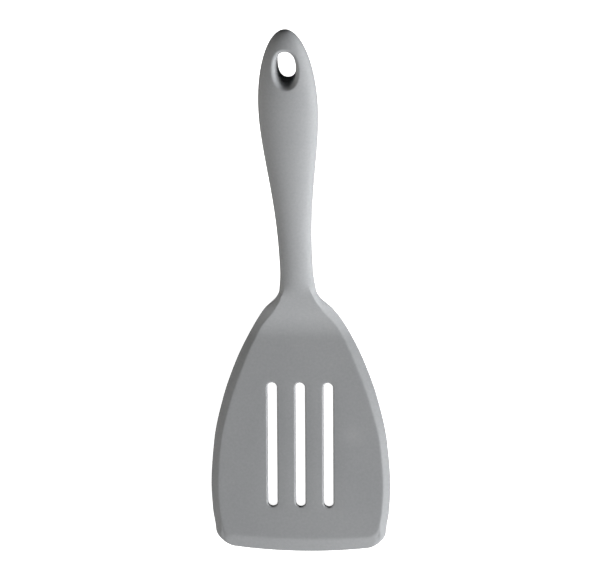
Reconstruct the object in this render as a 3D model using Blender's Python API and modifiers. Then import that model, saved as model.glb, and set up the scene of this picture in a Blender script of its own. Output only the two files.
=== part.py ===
"""Slotted silicone turner, lying right side up with its blade flat.

Two silicone skins are cured together over a spring steel blade insert and a moulded handle core.
The insert's tang sits in a slit in the core, held by three rivets, and silicone keys fill the
insert's and the core's holes. Lengths are in metres, +Z is up, +X is the blade's width, and the
tool runs along +Y from the blade's front edge to the handle's tip. The origin is on the ground,
below the middle of the tool. Inside this file a station is a distance behind the front edge.
"""
import math

import bmesh
import bpy
from mathutils import Matrix, Vector

# Plan sizes
BLADE_LENGTH = 0.1636  # front edge to the narrowest place of the neck
HANDLE_LENGTH = 0.1364  # narrowest place of the neck to the tip
BLADE_WIDTH = 0.1010
NECK_WIDTH = 0.0182
GRIP_WIDTH = 0.0323
TIP_LENGTH = 0.0440  # the grip's widest place to the tip
FRONT_EDGE_RADIUS = 0.310
FRONT_CORNER_RADIUS = 0.0100
FRONT_ARC_DEPTH = 0.0200  # how far back the front edge's curve still shows

# Side profile
BLADE_THICKNESS = 0.0040
NECK_THICKNESS = 0.0112
GRIP_THICKNESS = 0.0160
BEND_SETBACK = 0.0418  # start of the bend, before the narrowest place of the neck
BEND_RADIUS = 0.032
NECK_SLOPE = math.radians(27.5)
TIP_SLOPE = math.radians(17.0)

# Edges of the blade
FRONT_BEVEL = 0.0075
UNDERSIDE_CHAMFER = 0.0012
FRONT_EDGE_TOP = 0.0014
FRONT_EDGE_BOTTOM = 0.0003
FRONT_PARTING = 0.0008  # height of the parting line at the front edge
BLADE_PARTING = 0.0016  # height of the parting line along the blade
EDGE_LAND = 0.0003  # upright band on each side of the parting line

# Openings in the silicone
SLOT_WIDTH = 0.0055
SLOT_PITCH = 0.01575
SLOT_FRONT_MARGIN = 0.0259  # front edge to the slots
SLOT_REAR_MARGIN = 0.0252  # slots to the start of the bend
SLOT_COUNT = 3
HANG_HOLE_WIDTH = 0.0102
HANG_HOLE_LENGTH = 0.0183
HANG_HOLE_SETBACK = 0.0202  # centre of the hanging hole, before the tip

# Blade insert
PLATE_THICKNESS = 0.0010
PLATE_SIDE_INSET = 0.0050
PLATE_FRONT_INSET = 0.0095
PLATE_CORNER_RADIUS = 0.0060
SLOT_LINING = 0.0015  # silicone between a slot and the insert
TANG_WIDTH = 0.0100
TANG_LENGTH = 0.0330  # the part of the tang inside the core
SHOULDER_LENGTH = 0.0120
LOCK_HOLE_DIAMETER = 0.0050
LOCK_HOLE_SPREAD = 0.0640
LOCK_HOLE_ENDS = 0.0060  # lock holes stand this far inside the ends of the slots

# Handle core
SKIN_WALL = 0.0022
CORE_FRONT_SETBACK = 0.0210  # core's front face, before the narrowest place of the neck
HANG_HOLE_LINING = 0.0018
WINDOW_WIDTH = 0.0060
WINDOW_LENGTH = 0.0150
WINDOW_COUNT = 3  # spread evenly between the tang and the hanging hole

# Rivets
RIVET_SHANK_DIAMETER = 0.0030
RIVET_HEAD_DIAMETER = 0.0052
RIVET_HEAD_SHARE = 0.35  # thickness of a head, of the core's wall beside the tang
RIVET_RECESS_SHARE = 0.20  # depth of a head below the core's surface, of the same wall
RIVET_PITCH = 0.0085
RIVET_NAMES = ("rivet_front", "rivet_middle", "rivet_rear")

# Fits
GAP = 0.0003  # between any two pieces that touch

# Shape of the blade's side: (share of BLADE_LENGTH, share of the step from neck to blade width)
BLADE_SIDE = (
    (0.000, 0.923), (0.092, 0.950), (0.144, 0.981), (0.232, 1.000), (0.388, 0.956), (0.528, 0.838),
    (0.666, 0.647), (0.778, 0.427), (0.852, 0.239), (0.894, 0.075), (0.917, 0.030), (1.000, 0.000),
)
# Width of the bevel along the blade's side: (share of BLADE_LENGTH, width)
BEVEL_WIDTHS = (
    (0.000, 0.0040), (0.350, 0.0040), (0.510, 0.0048), (0.640, 0.0053), (0.780, 0.0048),
    (0.844, 0.0063), (0.874, 0.0046), (0.905, 0.0022), (1.000, 0.0016),
)
GRIP_SWELL_DELAY = 1.3  # over 1, the handle widens nearer to the grip than to the neck
GRIP_ROUNDNESS = 2.08  # exponent of the handle's oval section
TIP_ROUNDNESS = 3.0  # exponent of the tip's side view
HANG_HOLE_ROUNDNESS = 2.3

# Where points lie on round places
OVAL_ANGLES = tuple(math.radians(a) for a in (0, 12, 25, 38, 50, 63, 76, 90))
BEVEL_STEPS = 3  # of the oval's steps, after the land's, these lie on the blade's bevel
SKIN_CORNER_ANGLES = tuple(math.radians(a) for a in (0, 15, 50, 68))
SKIN_TIP_ANGLES = tuple(math.radians(a) for a in (0, 16, 32, 47, 61, 74, 84))
CORE_TIP_ANGLES = tuple(math.radians(a) for a in (0, 20, 40, 58, 74, 84))
PLATE_CORNER_ANGLES = tuple(math.radians(a) for a in (0, 25, 50, 72))
PLATE_COLUMNS = 8  # faces across the insert
OBROUND_STEPS = 11  # on each round end; odd, so no corner lies on the tool's centre plane
HANG_HOLE_STEPS = 28
ROUND_HOLE_STEPS = 14
RIVET_STEPS = 16
SLOPE_STEP = 0.0002  # stations this far apart give the slope
SHARP_ANGLE = math.radians(35)  # edges that turn more than this are shaded sharp
FLAT_ANGLE = math.radians(0.2)  # faces that turn less than this are joined

OVERALL_LENGTH = BLADE_LENGTH + HANDLE_LENGTH
BEND_START = BLADE_LENGTH - BEND_SETBACK
BEND_END = BEND_START + BEND_RADIUS * math.sin(NECK_SLOPE)
ROUNDING_START = BEND_END + BEND_RADIUS / 4  # the section turns from plate to oval from here
ROUNDING_END = BLADE_LENGTH - BEND_RADIUS / 4
GRIP_STATION = OVERALL_LENGTH - TIP_LENGTH
CORE_FRONT = BLADE_LENGTH - CORE_FRONT_SETBACK
TANG_END = CORE_FRONT + TANG_LENGTH
HANG_HOLE_STATION = OVERALL_LENGTH - HANG_HOLE_SETBACK
FAR = 0.08  # cutters reach this far past what they cut


def smooth(low, high, value):
    """0 below low, 1 above high, with an even S-curve between them."""
    t = min(max((value - low) / (high - low), 0.0), 1.0)
    return t * t * (3.0 - 2.0 * t)


def curve_through(points, x):
    """Value at x of a smooth curve through the points, without overshoot."""
    steps = [(b[1] - a[1]) / (b[0] - a[0]) for a, b in zip(points, points[1:])]
    slopes = [steps[0]]
    for before, after in zip(steps, steps[1:]):
        same_way = before * after > 0.0
        slopes.append(2.0 * before * after / (before + after) if same_way else 0.0)
    slopes.append(0.0)
    i = 0
    while i < len(points) - 2 and x > points[i + 1][0]:
        i += 1
    (x0, y0), (x1, y1) = points[i], points[i + 1]
    h = x1 - x0
    t = (x - x0) / h
    rise = y0 * (1 + 2 * t) * (1 - t) ** 2 + y1 * t * t * (3 - 2 * t)
    return rise + h * (slopes[i] * t * (1 - t) ** 2 - slopes[i + 1] * t * t * (1 - t))


def corner_loss(radius, distance):
    """How much narrower a rounded corner is, this far behind the edge it ends at."""
    if distance >= radius:
        return 0.0
    return radius - math.sqrt(max(radius ** 2 - (radius - distance) ** 2, 0.0))


def half_width(station):
    """Half of the tool's width."""
    neck = NECK_WIDTH / 2
    grip = GRIP_WIDTH / 2
    if station < BLADE_LENGTH:
        share = curve_through(BLADE_SIDE, station / BLADE_LENGTH)
        side = neck + share * (BLADE_WIDTH / 2 - neck)
        return side - corner_loss(FRONT_CORNER_RADIUS, station)
    if station < GRIP_STATION:
        along = (station - BLADE_LENGTH) / (GRIP_STATION - BLADE_LENGTH)
        return neck + smooth(0.0, 1.0, along ** GRIP_SWELL_DELAY) * (grip - neck)
    along = (station - GRIP_STATION) / TIP_LENGTH
    return grip * math.sqrt(max(1.0 - along ** 2, 0.0))


def middle_height(station):
    """Height of the parting line, which is also the middle of the insert and of the core."""
    if station <= BEND_START:
        front = smooth(0.0, FRONT_BEVEL, station)
        return FRONT_PARTING + front * (BLADE_PARTING - FRONT_PARTING)
    if station <= BEND_END:
        run = station - BEND_START
        return BLADE_PARTING + BEND_RADIUS - math.sqrt(BEND_RADIUS ** 2 - run ** 2)
    bend_top = BLADE_PARTING + BEND_RADIUS * (1.0 - math.cos(NECK_SLOPE))
    run = station - BEND_END
    full = OVERALL_LENGTH - BEND_END
    fall = (math.tan(NECK_SLOPE) - math.tan(TIP_SLOPE)) / (2.0 * full)
    return bend_top + math.tan(NECK_SLOPE) * run - fall * run ** 2


def slope_at(station):
    """Angle of the parting line above the ground."""
    rise = middle_height(station + SLOPE_STEP) - middle_height(station - SLOPE_STEP)
    return math.atan2(rise, 2 * SLOPE_STEP)


def handle_half_thickness(station, blade_value):
    """Height above or below the parting line, which starts from the blade's own value."""
    neck = NECK_THICKNESS / 2
    grip = GRIP_THICKNESS / 2
    height = blade_value + smooth(BEND_START, BLADE_LENGTH, station) * (neck - blade_value)
    height += smooth(BLADE_LENGTH, GRIP_STATION, station) * (grip - neck)
    along = min(max((station - GRIP_STATION) / TIP_LENGTH, 0.0), 1.0)
    return height * math.sqrt(1.0 - along ** TIP_ROUNDNESS)


def height_above(station):
    """Height of the top surface above the parting line."""
    if station < FRONT_BEVEL:
        top = FRONT_EDGE_TOP + (BLADE_THICKNESS - FRONT_EDGE_TOP) * station / FRONT_BEVEL
        return top - middle_height(station)
    return handle_half_thickness(station, BLADE_THICKNESS - BLADE_PARTING)


def depth_below(station):
    """Depth of the underside below the parting line."""
    if station < FRONT_BEVEL:
        bottom = FRONT_EDGE_BOTTOM * max(1.0 - station / UNDERSIDE_CHAMFER, 0.0)
        return middle_height(station) - bottom
    return handle_half_thickness(station, BLADE_PARTING)


def bevel_width(station, height):
    """Width of the bevel along the blade's side, which shortens where the front is thinner."""
    widest = curve_through(BEVEL_WIDTHS, min(station / BLADE_LENGTH, 1.0))
    full = BLADE_THICKNESS - BLADE_PARTING - EDGE_LAND
    return widest * min((height - EDGE_LAND) / full, 1.0)


def section_curve(width, height, bevel, roundness):
    """Points (across, up) from a section's side to its middle: bevelled plate (0) to oval (1)."""
    points = []
    last = len(OVAL_ANGLES) - 1
    inner = width - bevel
    for i, angle in enumerate(OVAL_ANGLES):
        oval_x = width * max(math.cos(angle), 0.0) ** (2.0 / GRIP_ROUNDNESS)
        oval_z = height * math.sin(angle) ** (2.0 / GRIP_ROUNDNESS)
        if i == 0:
            plate_x, plate_z = width, 0.0
        elif i <= 1 + BEVEL_STEPS:
            up = (i - 1) / BEVEL_STEPS
            plate_x = width - bevel * up
            plate_z = EDGE_LAND + (height - EDGE_LAND) * up
        else:
            plate_x = inner * (last - i) / (last - 1 - BEVEL_STEPS)
            plate_z = height
        x = plate_x + (oval_x - plate_x) * roundness
        z = plate_z + (oval_z - plate_z) * roundness
        points.append((x, z))
    return points


def on_tool(across, station, up):
    """Point of the tool; near the front, rows bend with the front edge."""
    fade = 1.0 - smooth(0.0, FRONT_ARC_DEPTH, station)
    return Vector((across, station + fade * across ** 2 / (2.0 * FRONT_EDGE_RADIUS), up))


def spread(low, high, count):
    """Stations from low towards high in even steps, without high itself."""
    return [low + (high - low) * i / count for i in range(count)]


def outer_stations():
    """Stations of the skins, closer together where the shape turns."""
    corner = [FRONT_CORNER_RADIUS * (1.0 - math.cos(a)) for a in SKIN_CORNER_ANGLES]
    rows = corner + [UNDERSIDE_CHAMFER, FRONT_BEVEL]
    rows += spread(FRONT_CORNER_RADIUS, BEND_START, 8)
    rows += spread(BEND_START, BEND_END, 3)
    rows += spread(BEND_END, BLADE_LENGTH, 7)
    rows += spread(BLADE_LENGTH, GRIP_STATION, 7)
    rows += [GRIP_STATION + TIP_LENGTH * math.sin(a) for a in SKIN_TIP_ANGLES]
    return sorted(rows)


def core_stations(front, tip):
    """Stations of the core between its front face and its tip."""
    rows = spread(front, BLADE_LENGTH, 3) + spread(BLADE_LENGTH, GRIP_STATION, 7)
    full = tip - GRIP_STATION
    return rows + [GRIP_STATION + full * math.sin(a) for a in CORE_TIP_ANGLES]


def new_object(name, mesh, collection):
    """Object under the tool's frame, in one of the two collections."""
    obj = bpy.data.objects.new(name, mesh)
    collection.objects.link(obj)
    obj.parent = FRAME
    if collection is CUTTERS:
        obj.hide_render = True
        obj.display_type = "WIRE"
    return obj


def loft(name, rings, tip, collection):
    """Closed solid through rings of equal length; the last ring closes on the tip point."""
    bm = bmesh.new()
    rows = [[bm.verts.new(point) for point in ring] for ring in rings]
    count = len(rings[0])
    for row, following in zip(rows, rows[1:]):
        for i in range(count):
            j = (i + 1) % count
            bm.faces.new((row[i], row[j], following[j], following[i]))
    half = count // 2
    for i in range(half):
        far = [rows[0][(count - i - 1) % count], rows[0][(count - i) % count]]
        corners = [rows[0][i], rows[0][i + 1]] + far
        bm.faces.new(list(dict.fromkeys(corners)))
    end = bm.verts.new(tip)
    for i in range(count):
        bm.faces.new((rows[-1][i], rows[-1][(i + 1) % count], end))
    bmesh.ops.recalc_face_normals(bm, faces=bm.faces)
    bmesh.ops.triangulate(bm, faces=bm.faces)
    mesh = bpy.data.meshes.new(name)
    bm.to_mesh(mesh)
    bm.free()
    return new_object(name, mesh, collection)


def across_section(points):
    """Section points from the left side over the middle to the right side."""
    left = [(-x, z) for x, z in points]
    return left + [(x, z) for x, z in reversed(points[:-1])]


def skin_ring(station, sign):
    """Ring of one skin: its outer curve, then back along the parting surface."""
    height = height_above(station) if sign > 0 else depth_below(station)
    bevel = bevel_width(station, height) if sign > 0 else UNDERSIDE_CHAMFER
    roundness = smooth(ROUNDING_START, ROUNDING_END, station)
    width = half_width(station)
    curve = across_section(section_curve(width, height, bevel, roundness))
    middle = middle_height(station)
    steps = len(curve) - 1
    shares = [2.0 * i / steps - 1.0 for i in range(steps + 1)]
    parting = [on_tool(width * share, station, middle + sign * GAP / 2) for share in shares]
    outer = [on_tool(x, station, middle + sign * max(z, GAP / 2)) for x, z in curve]
    return parting[:1] + outer[1:-1] + parting[:0:-1]


def make_skin(name, sign):
    """One silicone skin before its openings and its cavity are cut."""
    rings = [skin_ring(station, sign) for station in outer_stations()]
    end = OVERALL_LENGTH
    tip = Vector((0.0, end, middle_height(end) + sign * GAP / 2))
    return loft(name, rings, tip, PARTS)


def core_ring(station, tip, grow):
    """Ring of the handle core, which keeps the skin's wall all round."""
    wall = SKIN_WALL - grow
    inside = min(station, GRIP_STATION)
    width = half_width(max(inside, BLADE_LENGTH)) - wall
    height = handle_half_thickness(inside, BLADE_THICKNESS - BLADE_PARTING) - wall
    along = min(max((station - GRIP_STATION) / (tip - GRIP_STATION), 0.0), 1.0)
    width *= math.sqrt(1.0 - along ** 2)
    height *= math.sqrt(1.0 - along ** TIP_ROUNDNESS)
    middle = middle_height(station)
    curve = across_section(section_curve(width, height, 0.0, 1.0))
    over = [Vector((x, station, middle + z)) for x, z in curve]
    under = [Vector((x, station, middle - z)) for x, z in curve]
    return over + under[-2:0:-1]


def make_core(name, grow, collection):
    """The handle core's solid, or its cavity where grow is the clearance."""
    front = CORE_FRONT - grow
    tip = OVERALL_LENGTH - SKIN_WALL + grow
    rings = [core_ring(station, tip, grow) for station in core_stations(front, tip)]
    core = loft(name, rings, Vector((0.0, tip, middle_height(tip))), collection)
    lining = HANG_HOLE_LINING - grow
    cut(core, hang_hole_cutter(name + "_hole", lining))
    for i, station in enumerate(window_stations()):
        outline = obround(WINDOW_WIDTH - 2 * grow, WINDOW_LENGTH - 2 * grow)
        window = prism(f"{name}_window_{i + 1}", [outline])
        tilt_to_handle(window, station)
        cut(core, window)
    return core


def window_stations():
    """Centres of the core's windows, with equal ribs between the tang and the hanging hole."""
    hole_front = HANG_HOLE_STATION - HANG_HOLE_LENGTH / 2 - HANG_HOLE_LINING
    rib = (hole_front - TANG_END - WINDOW_COUNT * WINDOW_LENGTH) / (WINDOW_COUNT + 1)
    first = TANG_END + rib + WINDOW_LENGTH / 2
    return [first + i * (WINDOW_LENGTH + rib) for i in range(WINDOW_COUNT)]


def plate_half_width(station, grow):
    """Half width of the blade insert, down to its tang behind the shoulders."""
    tang = TANG_WIDTH / 2
    shoulder_end = CORE_FRONT - 2 * GAP
    blade = half_width(max(station, FRONT_CORNER_RADIUS)) - PLATE_SIDE_INSET
    blade -= corner_loss(PLATE_CORNER_RADIUS, station - PLATE_FRONT_INSET + grow)
    narrowing = smooth(shoulder_end - SHOULDER_LENGTH, shoulder_end, station)
    return tang + max(blade - tang, 0.0) * (1.0 - narrowing) + grow


def plate_surface(name, rows, width_at, thickness, collection):
    """Open strip along the parting surface, thickened evenly on both sides."""
    bm = bmesh.new()
    grid = []
    for station in rows:
        width = width_at(station)
        shares = [2.0 * i / PLATE_COLUMNS - 1.0 for i in range(PLATE_COLUMNS + 1)]
        points = [on_tool(width * share, station, middle_height(station)) for share in shares]
        grid.append([bm.verts.new(point) for point in points])
    for row, following in zip(grid, grid[1:]):
        for i in range(PLATE_COLUMNS):
            bm.faces.new((row[i], row[i + 1], following[i + 1], following[i]))
    mesh = bpy.data.meshes.new(name)
    bm.to_mesh(mesh)
    bm.free()
    plate = new_object(name, mesh, collection)
    solid = plate.modifiers.new("thickness", "SOLIDIFY")
    solid.thickness = thickness
    solid.offset = 0.0
    plate.modifiers.new("flat_triangles", "TRIANGULATE")
    return plate


def make_plate(name, grow, collection):
    """The steel blade insert, or its cavity where grow is the clearance."""
    front = PLATE_FRONT_INSET - grow
    corner = [front + PLATE_CORNER_RADIUS * (1.0 - math.cos(a)) for a in PLATE_CORNER_ANGLES]
    end = TANG_END - GAP + grow
    rows = corner + spread(front + PLATE_CORNER_RADIUS, BEND_START, 6)
    rows += spread(BEND_START, BEND_END, 3) + spread(BEND_END, CORE_FRONT, 4)
    rows += spread(CORE_FRONT, end, 3) + [end]
    thickness = PLATE_THICKNESS + 2 * grow
    plate = plate_surface(name, rows, lambda s: plate_half_width(s, grow), thickness, collection)
    cut(plate, slots_cutter(name + "_slots", SLOT_LINING - grow))
    for i, (x, station) in enumerate(lock_hole_places()):
        hole = round_cutter(f"{name}_lock_{i + 1}", LOCK_HOLE_DIAMETER - 2 * grow)
        hole.location = (x, station, BLADE_PARTING)
        cut(plate, hole)
    return plate


def slot_places():
    """Positions across the blade of the slots' centre lines."""
    return [(i - (SLOT_COUNT - 1) / 2) * SLOT_PITCH for i in range(SLOT_COUNT)]


def lock_hole_places():
    """Centres of the insert's lock holes: two pairs beside the slots and one behind them."""
    front = SLOT_FRONT_MARGIN + LOCK_HOLE_ENDS
    rear = BEND_START - SLOT_REAR_MARGIN - LOCK_HOLE_ENDS
    side = LOCK_HOLE_SPREAD / 2
    behind = BEND_START - SLOT_REAR_MARGIN / 2
    return [(-side, front), (side, front), (-side, rear), (side, rear), (0.0, behind)]


def prism(name, outlines):
    """Upright prism from outlines of (x, y) points, long enough to cut right through."""
    curve = bpy.data.curves.new(name, "CURVE")
    curve.dimensions = "2D"
    curve.fill_mode = "BOTH"
    curve.extrude = FAR / 2
    for outline in outlines:
        spline = curve.splines.new("POLY")
        spline.points.add(len(outline) - 1)
        for point, (x, y) in zip(spline.points, outline):
            point.co = (x, y, 0.0, 1.0)
        spline.use_cyclic_u = True
    holder = new_object(name + "_outline", curve, CUTTERS)
    graph = bpy.context.evaluated_depsgraph_get()
    mesh = bpy.data.meshes.new_from_object(holder.evaluated_get(graph))
    bm = bmesh.new()
    bm.from_mesh(mesh)
    bmesh.ops.remove_doubles(bm, verts=bm.verts, dist=0.000001)
    bmesh.ops.recalc_face_normals(bm, faces=bm.faces)
    bm.to_mesh(mesh)
    bm.free()
    bpy.data.objects.remove(holder)
    return new_object(name, mesh, CUTTERS)


def obround(width, length, across=0.0):
    """Outline with straight sides and round ends, along Y."""
    radius = width / 2
    reach = length / 2 - radius
    outline = []
    for end, turn in ((1.0, 0.0), (-1.0, math.pi)):
        for i in range(OBROUND_STEPS + 1):
            angle = math.pi * i / OBROUND_STEPS + turn
            x = across + radius * math.cos(angle)
            outline.append((x, end * reach + radius * math.sin(angle)))
    return outline


def slots_cutter(name, margin):
    """Cutter of the blade's slots, wider and longer by the margin on every side."""
    front = SLOT_FRONT_MARGIN - margin
    rear = BEND_START - SLOT_REAR_MARGIN + margin
    width = SLOT_WIDTH + 2 * margin
    cutter = prism(name, [obround(width, rear - front, across) for across in slot_places()])
    cutter.location.y = (front + rear) / 2
    return cutter


def round_cutter(name, diameter):
    """Upright round cutter."""
    bm = bmesh.new()
    radius = diameter / 2
    bmesh.ops.create_cone(
        bm, cap_ends=True, segments=ROUND_HOLE_STEPS, radius1=radius, radius2=radius, depth=FAR
    )
    mesh = bpy.data.meshes.new(name)
    bm.to_mesh(mesh)
    bm.free()
    return new_object(name, mesh, CUTTERS)


def hang_hole_cutter(name, margin):
    """Cutter of the hanging hole, square to the handle, wider by the margin."""
    width = HANG_HOLE_WIDTH / 2 + margin
    length = HANG_HOLE_LENGTH / 2 + margin
    power = 2.0 / HANG_HOLE_ROUNDNESS
    outline = []
    for i in range(HANG_HOLE_STEPS):
        angle = 2.0 * math.pi * (i + 0.5) / HANG_HOLE_STEPS
        cosine = math.cos(angle)
        sine = math.sin(angle)
        across = math.copysign(width * abs(cosine) ** power, cosine)
        along = math.copysign(length * abs(sine) ** power, sine)
        outline.append((across, along))
    cutter = prism(name, [outline])
    tilt_to_handle(cutter, HANG_HOLE_STATION)
    return cutter


def tilt_to_handle(obj, station):
    """Stand an upright object square to the handle, centred on the parting surface."""
    obj.location = (0.0, station, middle_height(station))
    obj.rotation_euler = (slope_at(station), 0.0, 0.0)


def cut(obj, cutter):
    """Take the cutter away from the object."""
    boolean = obj.modifiers.new("cut_" + cutter.name, "BOOLEAN")
    boolean.operation = "DIFFERENCE"
    boolean.solver = "EXACT"
    boolean.object = cutter


def merge_flat_faces(obj):
    """Join faces that lie in one plane."""
    flat = obj.modifiers.new("flat_faces", "DECIMATE")
    flat.decimate_type = "DISSOLVE"
    flat.angle_limit = FLAT_ANGLE


def rivet_stations():
    """Stations of the three rivets, spaced evenly along the tang."""
    middle = (CORE_FRONT + TANG_END) / 2
    return [middle + (i - 1) * RIVET_PITCH for i in range(len(RIVET_NAMES))]


def rivet_heights(station):
    """Top of a rivet's upper head and its underside, above the middle of the tang."""
    height = handle_half_thickness(station, BLADE_THICKNESS - BLADE_PARTING)
    surface = (height - SKIN_WALL) * math.cos(slope_at(station))
    wall = surface - PLATE_THICKNESS / 2 - GAP
    reach = surface - RIVET_RECESS_SHARE * wall
    return reach, reach - RIVET_HEAD_SHARE * wall


def make_rivet(name, station):
    """Rivet with a flat head on each end, turned from its profile."""
    shank = RIVET_SHANK_DIAMETER / 2
    head = RIVET_HEAD_DIAMETER / 2
    reach, neck = rivet_heights(station)
    profile = [(0, reach), (head, reach), (head, neck), (shank, neck)]
    profile += [(x, -z) for x, z in reversed(profile)]
    mesh = bpy.data.meshes.new(name)
    edges = [(i, i + 1) for i in range(len(profile) - 1)]
    mesh.from_pydata([(x, 0.0, z) for x, z in profile], edges, [])
    rivet = new_object(name, mesh, PARTS)
    screw = rivet.modifiers.new("turned", "SCREW")
    screw.steps = RIVET_STEPS
    screw.render_steps = RIVET_STEPS
    screw.use_merge_vertices = True
    screw.merge_threshold = 0.00001
    tilt_to_handle(rivet, station)
    return rivet


def drill_for_rivets(core, plate):
    """Shank holes through core and tang, with a counterbore in the core for each head."""
    for name, station in zip(RIVET_NAMES, rivet_stations()):
        shank = round_cutter(name + "_shank_hole", RIVET_SHANK_DIAMETER + 2 * GAP)
        tilt_to_handle(shank, station)
        cut(core, shank)
        cut(plate, shank)
        floor = rivet_heights(station)[1] - GAP
        for place, side in (("top", 1.0), ("under", -1.0)):
            bore = round_cutter(f"{name}_{place}_head_bore", RIVET_HEAD_DIAMETER + 2 * GAP)
            tilt_to_handle(bore, station)
            bore.data.transform(Matrix.Translation((0.0, 0.0, side * (FAR / 2 + floor))))
            cut(core, bore)


def cut_tang_slit(core):
    """Slit in the front of the core that takes the insert's tang."""
    rows = spread(CORE_FRONT - 4 * GAP, TANG_END, 5) + [TANG_END]
    width = TANG_WIDTH / 2 + GAP
    slit = plate_surface("tang_slit", rows, lambda s: width, PLATE_THICKNESS + 2 * GAP, CUTTERS)
    cut(core, slit)


def cut_skin(skin, cavities):
    """Cavity for the insert and the core, then the slots and the hanging hole."""
    for cavity in cavities:
        cut(skin, cavity)
    cut(skin, slots_cutter(skin.name + "_slots", 0.0))
    cut(skin, hang_hole_cutter(skin.name + "_hole", 0.0))
    merge_flat_faces(skin)


def material(name, colour, roughness, metallic):
    """Principled material of one colour."""
    made = bpy.data.materials.new(name)
    made.use_nodes = True
    shader = made.node_tree.nodes["Principled BSDF"]
    shader.inputs["Base Color"].default_value = (*colour, 1.0)
    shader.inputs["Roughness"].default_value = roughness
    shader.inputs["Metallic"].default_value = metallic
    return made


def top_silicone():
    """Silicone of the upper skin."""
    return material("top_silicone", (0.26, 0.27, 0.275), 0.62, 0.0)


def bottom_silicone():
    """Silicone of the lower skin, slightly darker."""
    return material("bottom_silicone", (0.25, 0.26, 0.265), 0.62, 0.0)


def spring_steel():
    """Bright steel of the blade insert."""
    return material("spring_steel", (0.60, 0.60, 0.61), 0.30, 1.0)


def glass_filled_nylon():
    """Black plastic of the handle core."""
    return material("glass_filled_nylon", (0.035, 0.035, 0.038), 0.50, 0.0)


def stainless_rivet():
    """Bright steel of the rivets."""
    return material("stainless_rivet", (0.66, 0.66, 0.67), 0.25, 1.0)


def finish(obj, made):
    """Give the object its material and shade its round places smooth."""
    obj.data.materials.append(made)
    obj.data.shade_smooth()
    obj.data.set_sharp_from_angle(angle=SHARP_ANGLE)


def build():
    """Make every piece of the turner."""
    plate = make_plate("blade_plate", 0.0, PARTS)
    core = make_core("handle_core", 0.0, PARTS)
    cut_tang_slit(core)
    drill_for_rivets(core, plate)
    cavities = [make_plate("plate_cavity", GAP, CUTTERS), make_core("core_cavity", GAP, CUTTERS)]
    top = make_skin("top_skin", 1.0)
    bottom = make_skin("bottom_skin", -1.0)
    cut_skin(top, cavities)
    cut_skin(bottom, cavities)
    finish(top, top_silicone())
    finish(bottom, bottom_silicone())
    finish(plate, spring_steel())
    finish(core, glass_filled_nylon())
    steel = stainless_rivet()
    for name, station in zip(RIVET_NAMES, rivet_stations()):
        finish(make_rivet(name, station), steel)


for old in list(bpy.data.objects):
    bpy.data.objects.remove(old)
PARTS = bpy.data.collections.new("silicone_turner")
CUTTERS = bpy.data.collections.new("cutters")
bpy.context.scene.collection.children.link(PARTS)
bpy.context.scene.collection.children.link(CUTTERS)
FRAME = bpy.data.objects.new("turner_frame", None)
PARTS.objects.link(FRAME)
FRAME.location = (0.0, -OVERALL_LENGTH / 2, 0.0)
build()
bpy.context.view_layer.update()
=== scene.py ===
"""Looks of the slotted silicone turner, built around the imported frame.

The two silicone skins are modelled again with a finer surface, rounded rims and soft creases, and
stand for the frame's own skins. The insert, the core and the rivets keep the frame's shapes. Lengths
are in metres. A station is a distance behind the blade's front edge, as in the part's own source.
A sign of 1 stands for the upper skin and -1 for the lower one.
"""
import math

import bmesh
import bpy
import numpy as np
from mathutils import Matrix, Vector
from mathutils.geometry import delaunay_2d_cdt


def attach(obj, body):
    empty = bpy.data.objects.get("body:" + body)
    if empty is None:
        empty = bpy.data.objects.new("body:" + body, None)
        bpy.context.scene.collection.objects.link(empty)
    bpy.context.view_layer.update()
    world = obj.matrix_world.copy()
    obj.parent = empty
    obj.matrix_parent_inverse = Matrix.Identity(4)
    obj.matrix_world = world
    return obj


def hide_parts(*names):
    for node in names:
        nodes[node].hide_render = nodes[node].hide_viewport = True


# Sizes of the tool, the same as the frame's
BLADE_LENGTH = 0.1636
HANDLE_LENGTH = 0.1364
BLADE_WIDTH = 0.1010
NECK_WIDTH = 0.0182
GRIP_WIDTH = 0.0323
TIP_LENGTH = 0.0440
FRONT_EDGE_RADIUS = 0.310
FRONT_CORNER_RADIUS = 0.0100
FRONT_ARC_DEPTH = 0.0200
BLADE_THICKNESS = 0.0040
NECK_THICKNESS = 0.0112
GRIP_THICKNESS = 0.0160
BEND_SETBACK = 0.0418
BEND_RADIUS = 0.032
NECK_SLOPE = math.radians(27.5)
TIP_SLOPE = math.radians(17.0)
FRONT_BEVEL = 0.0075
UNDERSIDE_CHAMFER = 0.0012
FRONT_EDGE_TOP = 0.0014
FRONT_EDGE_BOTTOM = 0.0003
FRONT_PARTING = 0.0008
BLADE_PARTING = 0.0016
EDGE_LAND = 0.0003
SLOT_WIDTH = 0.0055
SLOT_PITCH = 0.01575
SLOT_FRONT_MARGIN = 0.0259
SLOT_REAR_MARGIN = 0.0252
SLOT_COUNT = 3
HANG_HOLE_WIDTH = 0.0102
HANG_HOLE_LENGTH = 0.0183
HANG_HOLE_SETBACK = 0.0202
BLADE_SIDE = (
    (0.000, 0.923), (0.092, 0.950), (0.144, 0.981), (0.232, 1.000), (0.388, 0.956), (0.528, 0.838),
    (0.666, 0.647), (0.778, 0.427), (0.852, 0.239), (0.894, 0.075), (0.917, 0.030), (1.000, 0.000),
)
BEVEL_WIDTHS = (
    (0.000, 0.0040), (0.350, 0.0040), (0.510, 0.0048), (0.640, 0.0053), (0.780, 0.0048),
    (0.844, 0.0063), (0.874, 0.0046), (0.905, 0.0022), (1.000, 0.0016),
)
GRIP_SWELL_DELAY = 1.3
GRIP_ROUNDNESS = 2.08
TIP_ROUNDNESS = 3.0
HANG_HOLE_ROUNDNESS = 2.3
OVAL_ANGLES = tuple(math.radians(a) for a in (0, 12, 25, 38, 50, 63, 76, 90))
BEVEL_STEPS = 3

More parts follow.
